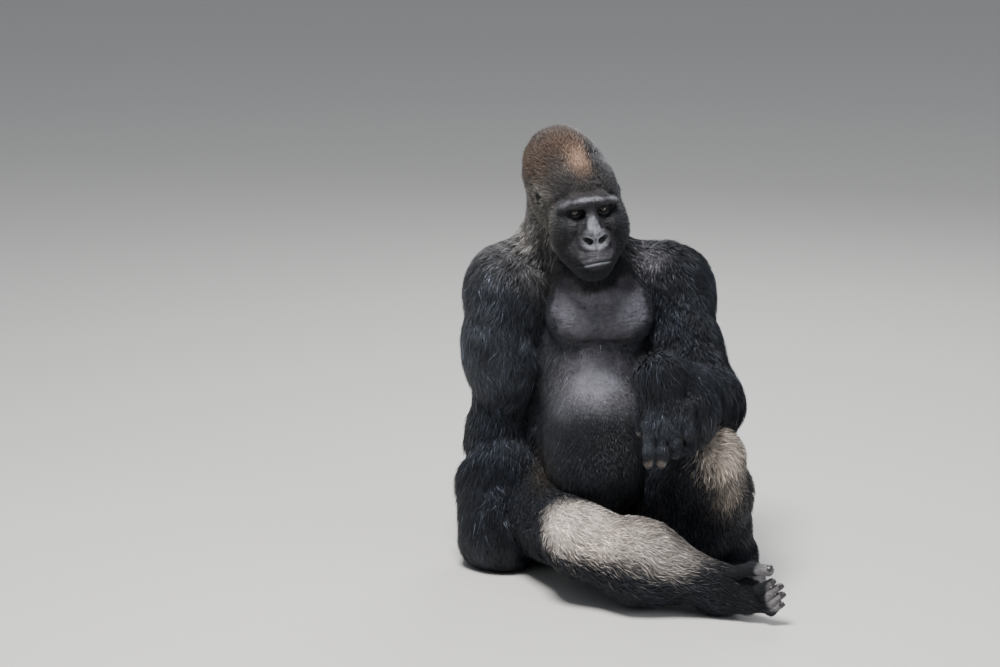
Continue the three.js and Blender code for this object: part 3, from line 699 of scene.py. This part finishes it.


# The skin's colour: a dulled coat colour under the hair, and where it is bare shades of its own with
# painted highlights and painted shade on the face and chest.
def skinTint(points):
    q = (points - headPlace) @ headTurn / mm
    tint = tintAt(points) * 0.7
    bare = np.tile((0.013, 0.012, 0.016), (len(points), 1))
    for where, centre, radii, colour in skinShades:
        p = q if where == "head" else points / mm
        near = np.linalg.norm((p - centre) / np.array(radii), axis=1)
        bare = bare + (1 - smooth(0.7, 1.15, near))[:, None] * (np.array(colour) - bare)
    # A painted highlight along the top of the brow ridge, where the overhead light falls.
    crest = tube(q, browHighlight, [0] * len(browHighlight))
    bare = bare + (1 - smooth(2, 10, crest))[:, None] * (np.array((0.130, 0.132, 0.150)) - bare)
    for _, s in sides:
        fromEye = q - eyeCentres[s]
        # Painted shade in the eye socket, under the overhanging brow.
        socket = np.linalg.norm((fromEye + (0, 6, -4)) / (27, 28, 15), axis=1)
        bare = bare * (1 - 0.93 * (1 - smooth(0.8, 1.1, socket)))[:, None]
        lid = bump(np.hypot(fromEye[:, 0] / 1.4, fromEye[:, 2] + 1) - 8, 2) * smooth(8, 2, fromEye[:, 2])
        bare = bare + 0.05 * lid[:, None]
        # Painted shade inside the nostril and in the dark line between the nostrils.
        nostril = np.minimum(tube(q, mirrored([*nostrilStations, (0, -78, -67)], s), [*nostrilRadii, 1.5]),
                             tube(q, mirrored(nostrilDepths, s), nostrilDepthRadii))
        bare = bare * (1 - 0.95 * (1 - smooth(0.6, 2.2, nostril)))[:, None]
        # A painted highlight on the ear's rim and painted shade in its recess.
        recess = ellipsoid(q, *earRecesses[s])
        bare = bare + 0.05 * bump(recess - 4, 2)[:, None]
        bare = bare * (1 - 0.93 * (1 - smooth(0.8, 2.5, recess)))[:, None]
    # Painted shade in the line between the lips, and a painted highlight on the lower lip.
    lips = lipRise(q[:, 0], q[:, 2])
    wide = smooth(42, 24, np.abs(q[:, 0] - faceLine(-118)))
    lipHighlight = bump(lips + 5, 3.4) * wide * smooth(-30, -45, q[:, 1])
    bare = bare * (1 - 0.8 * bump(lips, 2) * smooth(-20, -40, q[:, 1]))[:, None]
    bare = bare + lipHighlight[:, None] * (0.120, 0.128, 0.148)
    bare = bare * np.exp(0.22 * noiseAt(points, 14 * mm, 6) + 0.30 * noiseAt(points, 5 * mm, 7))[:, None]
    x, _, z = points.T / mm
    # Painted shade in the fold under the chest.
    crease = bump(z - 570 - 0.0008 * (x - 13) ** 2, 8) * smooth(125, 95, np.abs(x - 13))
    bare = bare * (1 - 0.8 * crease)[:, None]
    share = bareAt(points)[:, None]
    return tint + share * (bare - tint)


# A smooth mesh from whole arrays, each face with the same number of corners.
def newObject(name, vertices, faces, corners=3):
    mesh = bpy.data.meshes.new(name)
    mesh.vertices.add(len(vertices))
    mesh.vertices.foreach_set("co", np.asarray(vertices, np.float32).ravel())
    mesh.loops.add(faces.size)
    mesh.loops.foreach_set("vertex_index", faces.astype(np.int32).ravel())
    mesh.polygons.add(len(faces))
    mesh.polygons.foreach_set("loop_start", np.arange(0, faces.size, corners, dtype=np.int32))
    mesh.update(calc_edges=True)
    mesh.polygons.foreach_set("use_smooth", np.ones(len(faces), bool))
    thing = bpy.data.objects.new(name, mesh)
    bpy.context.scene.collection.objects.link(thing)
    return thing


# The colour of each vertex, which the materials read.
def setTint(thing, tint):
    attribute = thing.data.color_attributes.new("tint", "FLOAT_COLOR", "POINT")
    colour = np.column_stack([tint, np.ones(len(tint))]).astype(np.float32)
    attribute.data.foreach_set("color", colour.ravel())


def newMaterial(name, settings):
    material = bpy.data.materials.new(name)
    material.use_nodes = True
    shader = material.node_tree.nodes["Principled BSDF"]
    for socket, value in settings.items():
        shader.inputs[socket].default_value = value
    return material, material.node_tree, shader


def addNode(tree, kind, settings=None, inputs=None):
    node = tree.nodes.new(kind)
    for key, value in (settings or {}).items():
        setattr(node, key, value)
    for key, value in (inputs or {}).items():
        node.inputs[key].default_value = value
    return node


def tintedMaterial(name, settings):
    material, tree, shader = newMaterial(name, settings)
    tint = addNode(tree, "ShaderNodeAttribute", {"attribute_name": "tint"})
    tree.links.new(tint.outputs["Color"], shader.inputs["Base Color"])
    return material, tree, shader


# Skin: rough under the coat and smoother where bare, with sagging wrinkles, a grain and fine creases.
def newSkinMaterial(settings):
    material, tree, shader = tintedMaterial("skin", {"Specular IOR Level": settings["specular"]})
    bareness = addNode(tree, "ShaderNodeAttribute", {"attribute_name": "bare"})
    gloss = addNode(tree, "ShaderNodeMapRange", None,
                    {"To Min": settings["hairedRoughness"], "To Max": settings["bareRoughness"]})
    coords = addNode(tree, "ShaderNodeTexCoord")
    flatter = addNode(tree, "ShaderNodeMapping", None, {"Scale": settings["wrinkleStretch"]})
    wrinkles = addNode(tree, "ShaderNodeTexNoise", None, {"Scale": settings["wrinkles"], "Detail": 3.0})
    creases = addNode(tree, "ShaderNodeTexVoronoi", {"feature": "DISTANCE_TO_EDGE"},
                      {"Scale": settings["creases"]})
    grain = addNode(tree, "ShaderNodeTexNoise", None, {"Scale": settings["grain"], "Detail": 5.0})
    wrinkleBump = addNode(tree, "ShaderNodeBump", None, {"Strength": 0.9, "Distance": 0.005})
    grainBump = addNode(tree, "ShaderNodeBump", None, {"Strength": 0.9, "Distance": 0.005})
    creaseBump = addNode(tree, "ShaderNodeBump", None, {"Strength": 0.6, "Distance": 0.0024})
    for source, output, target, socket in (
            (bareness, "Fac", gloss, "Value"), (gloss, "Result", shader, "Roughness"),
            (coords, "Object", flatter, "Vector"), (flatter, "Vector", wrinkles, "Vector"),
            (coords, "Object", creases, "Vector"), (coords, "Object", grain, "Vector"),
            (wrinkles, "Fac", wrinkleBump, "Height"), (grain, "Fac", grainBump, "Height"),
            (creases, "Distance", creaseBump, "Height"), (wrinkleBump, "Normal", grainBump, "Normal"),
            (grainBump, "Normal", creaseBump, "Normal"), (creaseBump, "Normal", shader, "Normal")):
        tree.links.new(source.outputs[output], target.inputs[socket])
    return material


skin = newObject("skin", vertices, triangles)
setTint(skin, skinTint(vertices))
bareness = skin.data.attributes.new("bare", "FLOAT", "POINT")
bareness.data.foreach_set("value", bareAt(vertices).astype(np.float32))
skinMaterial = newSkinMaterial(skinSettings)
skin.data.materials.append(skinMaterial)
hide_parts(*[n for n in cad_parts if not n.startswith("eye_")])
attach(skin, "root")

# The bake map: an unwrap of the skin's own shape, which the tufts share by their roots.
bpy.context.view_layer.objects.active = skin
skin.select_set(True)
skin.data.uv_layers.new(name="OFBake")
bpy.ops.object.mode_set(mode="EDIT")
bpy.ops.mesh.select_all(action="SELECT")
bpy.ops.uv.smart_project(angle_limit=math.radians(66), island_margin=0.002)
bpy.ops.object.mode_set(mode="OBJECT")
skin.select_set(False)
skinUv = np.zeros(len(triangles) * 6, np.float32)
skin.data.uv_layers["OFBake"].data.foreach_get("uv", skinUv)
skinUv = skinUv.reshape(-1, 3, 2)
stage("skin unwrapped")

# Eyes: radii in mm, the share that the cornea stands out, and the globe's cells each way.
eyeSettings = {"iris": 6.3, "pupil": 2.7, "cornea": 0.055, "rings": 40, "around": 48}
eyeMaterial, _, _ = tintedMaterial("eye", {"Roughness": 0.06, "Coat Weight": 1.0, "Coat Roughness": 0.02})
gaze = unit(np.array([0.06, -1.0, -0.02]))


# A globe round the gaze: cos(lean) gaze + sin(lean) (cos(turn) side + sin(turn) up), with a cornea that
# stands out over the iris.
def eyeball(name, centre):
    rings = eyeSettings["rings"]
    around = eyeSettings["around"]
    leans = np.linspace(0, math.pi, rings)
    turns = np.arange(around) * 2 * math.pi / around
    lean, turn = np.meshgrid(leans, turns, indexing="ij")
    side = unit(np.cross(gaze, (0, 0, 1)))
    up = np.cross(side, gaze)
    ray = (np.cos(lean)[..., None] * gaze
           + np.sin(lean)[..., None] * (np.cos(turn)[..., None] * side + np.sin(turn)[..., None] * up))
    farOff = 99  # in mm, so that the back has no iris
    fromAxis = np.sin(lean) * eyeSize + np.where(lean > math.pi / 2, farOff, 0)
    cornea = 1 + eyeSettings["cornea"] * (1 - smooth(0, eyeSettings["iris"] + 1.5, fromAxis))
    q = centre + ray * (eyeSize * cornea)[..., None]
    points = (q.reshape(-1, 3) * mm) @ headTurn.T + headPlace
    i, j = np.meshgrid(np.arange(rings - 1), np.arange(around), indexing="ij")
    quads = np.stack([i * around + j, (i + 1) * around + j, (i + 1) * around + (j + 1) % around,
                      i * around + (j + 1) % around], axis=-1).reshape(-1, 4)
    thing = newObject(name, points, quads, 4)
    r = fromAxis.ravel()
    angle = turn.ravel()
    white = np.array((0.040, 0.028, 0.022))
    amber = np.array((0.115, 0.074, 0.046)) * (0.8 + 0.25 * np.sin(angle * 23)[:, None])
    tint = np.where((r < eyeSettings["iris"])[:, None], amber, white)
    rim = bump(r - eyeSettings["iris"], 0.9)[:, None]
    tint = tint * (1 - 0.85 * rim)
    tint = tint * smooth(eyeSettings["pupil"] - 0.4, eyeSettings["pupil"] + 0.4, r)[:, None]
    setTint(thing, tint)
    thing.data.materials.append(eyeMaterial)
    return thing


for side, s in sides:
    ballOfEye = eyeball(f"eyeball_{side}", eyeCentres[s])
    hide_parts(f"eye_{side}")
    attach(ballOfEye, "root")

# Nails: the numbers are cells each way, mm along from the middle, mm thick and radians round to a side.
nailSettings = {"cells": 8, "half": 7.5, "thick": 2.2, "wrap": 0.85}
nailMaterial, _, _ = newMaterial("nail", {"Base Color": (0.030, 0.028, 0.028, 1), "Roughness": 0.3})
nailUps = {"thumbRight": (0, 0, 1), "thumbLeft": (-0.4, -1, 0), "greatToeRight": (0, -0.6, 1),
           "greatToeLeft": (0, 0, 1), "toeRight": (0.4, -1, 0.1), "toeLeft": (0, 0, 1)}


# The faces of a nail: its top, its underside turned over, and the wall between their rims.
def nailQuads(cells):
    row = cells + 1
    i, j = np.meshgrid(np.arange(cells), np.arange(cells), indexing="ij")
    corner = i * row + j
    top = np.stack([corner, corner + row, corner + row + 1, corner + 1], axis=-1).reshape(-1, 4)
    there = np.arange(cells)
    back = np.arange(cells, 0, -1)
    rim = np.concatenate([there, there * row + cells, cells * row + back, back * row])
    after = np.roll(rim, -1)
    wall = np.stack([rim, after, after + row * row, rim + row * row], axis=1)
    return np.concatenate([top, top[:, ::-1] + row * row, wall])


# A shield curved across and along: u runs along the digit and v across, and the shield lies at
# tip + last (3 + half u) + radius (cos(angle) back + sin(angle) side).
def nailShield(b, c, tip, first, back):
    last = unit(np.subtract(c, b))
    back = np.array(first - last if back is None else back, float)
    back = unit(back - (back @ last) * last)
    side = np.cross(last, back)
    even = np.linspace(-1, 1, nailSettings["cells"] + 1)
    u, v = np.meshgrid(even, even, indexing="ij")
    angle = v * nailSettings["wrap"] * np.sqrt(np.maximum(1 - 0.35 * u ** 2, 0))
    radius = tip - 0.2 - 2.2 * np.maximum(u, 0) ** 2 - 1.2 * np.maximum(-u, 0) ** 2 - 0.5 * v ** 4
    outer = (np.array(c) + last * (3 + nailSettings["half"] * u)[..., None]
             + back * (radius * np.cos(angle))[..., None] + side * (radius * np.sin(angle))[..., None])
    inner = outer - back * nailSettings["thick"]
    return np.concatenate([outer.reshape(-1, 3), inner.reshape(-1, 3)]) * mm


nailPoints = []
nailFaces = []
for name, (a, b, c, _, tip) in digitBends.items():
    points = nailShield(b, c, tip, unit(np.subtract(b, a)), nailUps.get(name.rstrip("0123")))
    nailFaces.append(nailQuads(nailSettings["cells"]) + len(points) * len(nailPoints))
    nailPoints.append(points)
nails = newObject("nails", np.concatenate(nailPoints), np.concatenate(nailFaces), 4)
nails.data.materials.append(nailMaterial)
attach(nails, "root")
stage("eyes and nails")

# The coat's pieces: how many tufts, their length and width in mm, how much their tones differ, the share of
# paler bluish hairs that are painted glints of light along the strands, and how far in mm neighbouring
# colours mix.
coatPieces = {
    "upper_arm_right": {"count": 17000, "length": 56, "width": 2.4, "tone": 0.6, "glintHairs": 0.16, "mix": 12},
    "upper_arm_left": {"count": 15500, "length": 54, "width": 2.4, "tone": 0.6, "glintHairs": 0.10, "mix": 12},
    "forearm_right": {"count": 17000, "length": 66, "width": 2.6, "tone": 0.65, "glintHairs": 0.07, "mix": 12},
    "forearm_left": {"count": 15500, "length": 50, "width": 2.4, "tone": 0.6, "glintHairs": 0.07, "mix": 12},
    "trunk_front": {"count": 14500, "length": 26, "width": 1.8, "tone": 0.45, "glintHairs": 0.03, "mix": 12},
    "trunk_back": {"count": 11000, "length": 48, "width": 3.6, "tone": 0.5, "glintHairs": 0.10, "mix": 12},
    "neck": {"count": 12500, "length": 34, "width": 2.5, "tone": 0.5, "glintHairs": 0.12, "mix": 12},
    "head": {"count": 19500, "length": 14, "width": 1.4, "tone": 0.4, "glintHairs": 0.04, "mix": 7},
    "leg_right": {"count": 14500, "length": 26, "width": 2.1, "tone": 0.5, "glintHairs": 0.04, "mix": 16},
    "leg_left": {"count": 13000, "length": 28, "width": 2.4, "tone": 0.5, "glintHairs": 0.03, "mix": 12},
}
formsOfPiece = {
    "upper_arm_right": "deltRight upperRight bicepsRight",
    "upper_arm_left": "deltLeft upperLeft",
    "forearm_right": "foreRight foreHairRight cuffRight palmRight",
    "forearm_left": "foreLeft foreHairLeft palmLeft",
    "trunk_front": "belly lowBelly ribs breast pecRight pecLeft throat",
    "trunk_back": "pelvis rumpRight rumpLeft back loins upperBack",
    "neck": "slopeRight slopeLeft neck gullet",
    "leg_right": "thighRight calfRight shinRight heelRight midRight",
    "leg_left": "thighLeft hamLeft calfLeft shinLeft calfHairLeft heelLeft midLeft",
}
pieceOfForm = {form: piece for piece, forms in formsOfPiece.items() for form in forms.split()}
formNames = [n for n in plan if not n.endswith(("Root", "Tip"))]
pieceNames = list(coatPieces)
formPiece = np.array([pieceNames.index(pieceOfForm.get(n, "head")) for n in formNames])


# For points on the skin: the piece of the nearest form, and the way the hair lies, to which each form
# adds its own by exp(-distance / 12 mm).
def coatAt(points):
    best = np.full(len(points), 9.0)
    nearest = np.zeros(len(points), int)
    lie = np.zeros((len(points), 3))
    for index, name in enumerate(formNames):
        form = plan[name]
        reach = form["reach"] + 60 * mm
        near = np.nonzero(np.all(np.abs(points - form["centre"]) < reach, axis=1))[0]
        if not len(near):
            continue
        d = distance(form, points[near]) + form["coat"]
        lie[near] += np.exp(-np.maximum(d, 0) / (12 * mm))[:, None] * form["lie"]
        closer = d < best[near]
        best[near[closer]] = d[closer]
        nearest[near[closer]] = index
    return formPiece[nearest], unit(lie)


# A slow, even wandering of direction over the body, each part about one in size.
def swirl(points):
    wave = []
    for phase in (0.0, 2.1, 4.3):
        a, b, c = (points * 55 + phase).T
        wave.append(np.sin(a + 1.3 * np.sin(b + phase)) * np.cos(c + 0.9 * np.sin(a * 0.7)))
    return np.stack(wave, axis=1)


# Tufts grow by the skin's area, where it isn't bare, the coat has some depth and the floor is clear.
corner = vertices[triangles]
centres = corner.mean(axis=1)
area = np.linalg.norm(np.cross(corner[:, 1] - corner[:, 0], corner[:, 2] - corner[:, 0]), axis=1) / 2
facePiece, _ = coatAt(centres)
haired = 1 - bareAt(centres)
outer = -fieldAt(centres, bare=False)
weight = area * haired * smooth(0, 2.5 * mm, outer) * (centres[:, 2] > 2 * mm)
coatMaterial, _, _ = tintedMaterial(
    "coat", {"Roughness": 0.46, "Specular IOR Level": 0.40, "Sheen Weight": 0.03})
coatShare = 1.0

# Tufts: rings and sides, how much their lie wanders, and how wide a tuft's patch of the bake map is.
tuftSettings = {"rings": 2, "sides": 3, "wander": 0.32, "headWander": 0.12, "patch": 0.003}
tuftRings = tuftSettings["rings"]
tuftSides = tuftSettings["sides"]
tuftSteps = np.arange(tuftRings) / tuftRings


# Roots spread over a piece's triangles by area, each a random mix of its triangle's corners.
def tuftRoots(index, name, count):
    chance = np.where(facePiece == index, weight, 0)
    if chance.sum() <= 0:
        raise RuntimeError(f"no skin under coat piece {name}")
    edges = np.cumsum(chance) / chance.sum()
    face = np.searchsorted(edges, (np.arange(count) + rng.random(count)) / count)
    face = np.minimum(face, len(triangles) - 1)
    u, v = rng.random((2, count))
    flip = u + v > 1
    u[flip] = 1 - u[flip]
    v[flip] = 1 - v[flip]
    mix = np.stack([1 - u - v, u, v], axis=1)
    root = np.einsum("ij,ijk->ik", mix, vertices[triangles[face]])
    normal = unit(np.einsum("ij,ijk->ik", mix, normals[triangles[face]]))
    return root, normal, np.einsum("ij,ijk->ik", mix, skinUv[face])


# Tufts that lie along the body, shorter where the coat is thin. A tuft's line at t is
# root + length t along + height (1.7 t - 0.7 t^2) out + a sideways sway of t^2, its width (1 - t)^0.6.
def tuftPoints(root, normal, lock, settings, wander):
    count = len(root)
    _, lie = coatAt(root)
    lie = lie + wander * swirl(root) + 0.14 * rng.normal(size=lie.shape)
    along = unit(lie - np.einsum("ij,ij->i", lie, normal)[:, None] * normal)
    across = np.cross(normal, along)
    depth = np.clip(-fieldAt(root, bare=False), 0, 60 * mm)
    thick = np.clip(depth / (settings["length"] * 0.2 * mm), 0.35, 1.0)
    length = settings["length"] * mm * thick * rng.uniform(0.65, 1.1, count)
    height = np.minimum(depth * rng.uniform(0.6, 1.15, count), length * 0.6)
    width = settings["width"] * mm * rng.uniform(0.7, 1.2, count) * np.clip(thick * 1.2, 0.6, 1)
    sway = rng.normal(size=count) * 0.12
    height = height * (1 + 0.35 * lock)
    gather = 0.30 * noiseAt(root, 16 * mm, 9) * length
    stray = rng.uniform(0, 5, count) * mm * thick
    points = np.empty((count, tuftRings * tuftSides + 1, 3))
    for k, t in enumerate([*tuftSteps, 1.0]):
        line = (root - normal * 1.5 * mm * (t == 0)
                + along * (length * t)[:, None]
                + normal * (height * (1.7 * t - 0.7 * t * t))[:, None]
                + across * ((length * sway + gather) * t * t)[:, None])
        if t > 0:
            # A tuft stays within a few millimetres of the coat's surface.
            over = fieldAt(line, bare=False) - stray * t
            line = line - normal * np.clip(over, 0, 25 * mm)[:, None]
        if k == tuftRings:
            points[:, -1] = line
            continue
        half = (width * 0.5 * (1 - t) ** 0.6)[:, None]
        for j, angle in enumerate(np.arange(tuftSides) * 2 * math.pi / tuftSides):
            ring = math.cos(angle) * across + 0.6 * math.sin(angle) * normal
            points[:, k * tuftSides + j] = line + half * ring
    points[..., 2] = np.maximum(points[..., 2], 0.5 * mm)
    return points


# One tuft's triangles: its foot, the walls between its rings, and the cone to its tip.
def tuftTriangles():
    faces = [[0, 2, 1]]
    for k in range(tuftRings - 1):
        for j in range(tuftSides):
            a = k * tuftSides + j
            b = k * tuftSides + (j + 1) % tuftSides
            faces += [[a, b, b + tuftSides], [a, b + tuftSides, a + tuftSides]]
    last = (tuftRings - 1) * tuftSides
    faces += [[last + j, last + (j + 1) % tuftSides, last + tuftSides] for j in range(tuftSides)]
    return np.array(faces)


# Hairs of neighbouring colours mix, some are paler and bluish as painted glints of light, and each lock has
# its own tone.
def tuftTones(root, lock, settings):
    tone = tintAt(root + rng.normal(size=root.shape) * settings["mix"] * mm)
    glintHairs = (rng.random(len(root)) < settings["glintHairs"])[:, None]
    tone = np.where(glintHairs, tone * 1.6 + (0.044, 0.049, 0.059), tone)
    # A lock's tone varies at random and is darker where its tufts lie lower, which paints shade into the
    # partings between locks.
    return tone * (rng.lognormal(0, settings["tone"] * 0.8, len(root))
                   * np.exp(settings["tone"] * (0.7 * lock + 0.6 * noiseAt(root, 60 * mm, 10))))[:, None]


# One piece of the coat, darker at its tufts' roots than at their tips.
def growPiece(index, name, settings):
    count = int(settings["count"] * coatShare)
    root, normal, rootUv = tuftRoots(index, name, count)
    lock = noiseAt(root, 24 * mm, 8)
    wander = tuftSettings["headWander" if name == "head" else "wander"]
    points = tuftPoints(root, normal, lock, settings, wander)
    each = points.shape[1]
    faces = (tuftTriangles()[None] + (np.arange(count) * each)[:, None, None]).reshape(-1, 3)
    thing = newObject(f"coat_{name}", points.reshape(-1, 3), faces)
    heights = np.append(np.repeat(tuftSteps, tuftSides), 1.0)
    shade = 0.5 + 0.8 * heights
    tone = tuftTones(root, lock, settings)
    setTint(thing, (tone[:, None, :] * shade[None, :, None]).reshape(-1, 3))
    # Each tuft is a small patch of the map at its root's place.
    patch = np.zeros((each, 2))
    patch[:-1, 0] = np.tile([-1, 0, 1], tuftRings)
    patch[:, 1] = heights * 2 - 1
    uv = rootUv[:, None, :] + tuftSettings["patch"] / 2 * patch[None]
    uv = np.clip(uv, 0, 1).reshape(-1, 2)[faces.ravel()]
    layer = thing.data.uv_layers.new(name="OFBake")
    layer.data.foreach_set("uv", uv.astype(np.float32).ravel())
    thing.data.materials.append(coatMaterial)
    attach(thing, "root")
    return len(faces)


total = 0
for index, (name, settings) in enumerate(coatPieces.items()):
    total += growPiece(index, name, settings)
stage(f"coat, {total} triangles")

# Floor, light and camera.
floorMesh = bpy.data.meshes.new("floor")
floorMesh.from_pydata([(-30, -30, 0), (30, -30, 0), (30, 30, 0), (-30, 30, 0)], [], [(0, 1, 2, 3)])
floorMaterial, _, _ = newMaterial("floor", {"Base Color": (0.62, 0.61, 0.59, 1), "Roughness": 0.8})
floorMesh.materials.append(floorMaterial)
floor = bpy.data.objects.new("floor", floorMesh)
bpy.context.scene.collection.objects.link(floor)

world = bpy.data.worlds.new("studio")
world.use_nodes = True
sky = world.node_tree.nodes["Background"]
sky.inputs["Color"].default_value = (0.80, 0.84, 0.90, 1)
sky.inputs["Strength"].default_value = 0.36
bpy.context.scene.world = world

# Round lamps: each one's place and target, its width in metres, its power in watts and its colour.
lights = {
    "key": ((-0.7, -1.7, 4.6), (0, -0.1, 0.6), 1.8, 430, (1.0, 0.99, 0.98)),
    "fill": ((3.2, -3.0, 2.0), (0.1, -0.1, 0.5), 2.4, 45, (0.92, 0.96, 1.0)),
    "rim": ((0.8, 3.0, 3.0), (0, 0, 0.7), 2.0, 60, (1, 1, 1)),
}
for name, (place, target, size, power, colour) in lights.items():
    data = bpy.data.lights.new(name, "AREA")
    data.shape = "DISK"
    data.size = size
    data.energy = power
    data.color = colour
    lamp = bpy.data.objects.new(name, data)
    lamp.location = place
    lamp.rotation_euler = (Vector(target) - Vector(place)).to_track_quat("-Z", "Y").to_euler()
    bpy.context.scene.collection.objects.link(lamp)

view = bpy.data.cameras.new("camera")
view.lens = 118.66
view.sensor_width = 36
view.clip_end = 100
camera = bpy.data.objects.new("camera", view)
camera.location = (-0.2233, -7.6914, 2.2683)
camera.rotation_euler = (math.radians(77.5), 0, 0)
bpy.context.scene.collection.objects.link(camera)
bpy.context.scene.camera = camera

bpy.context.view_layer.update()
stage("ready")
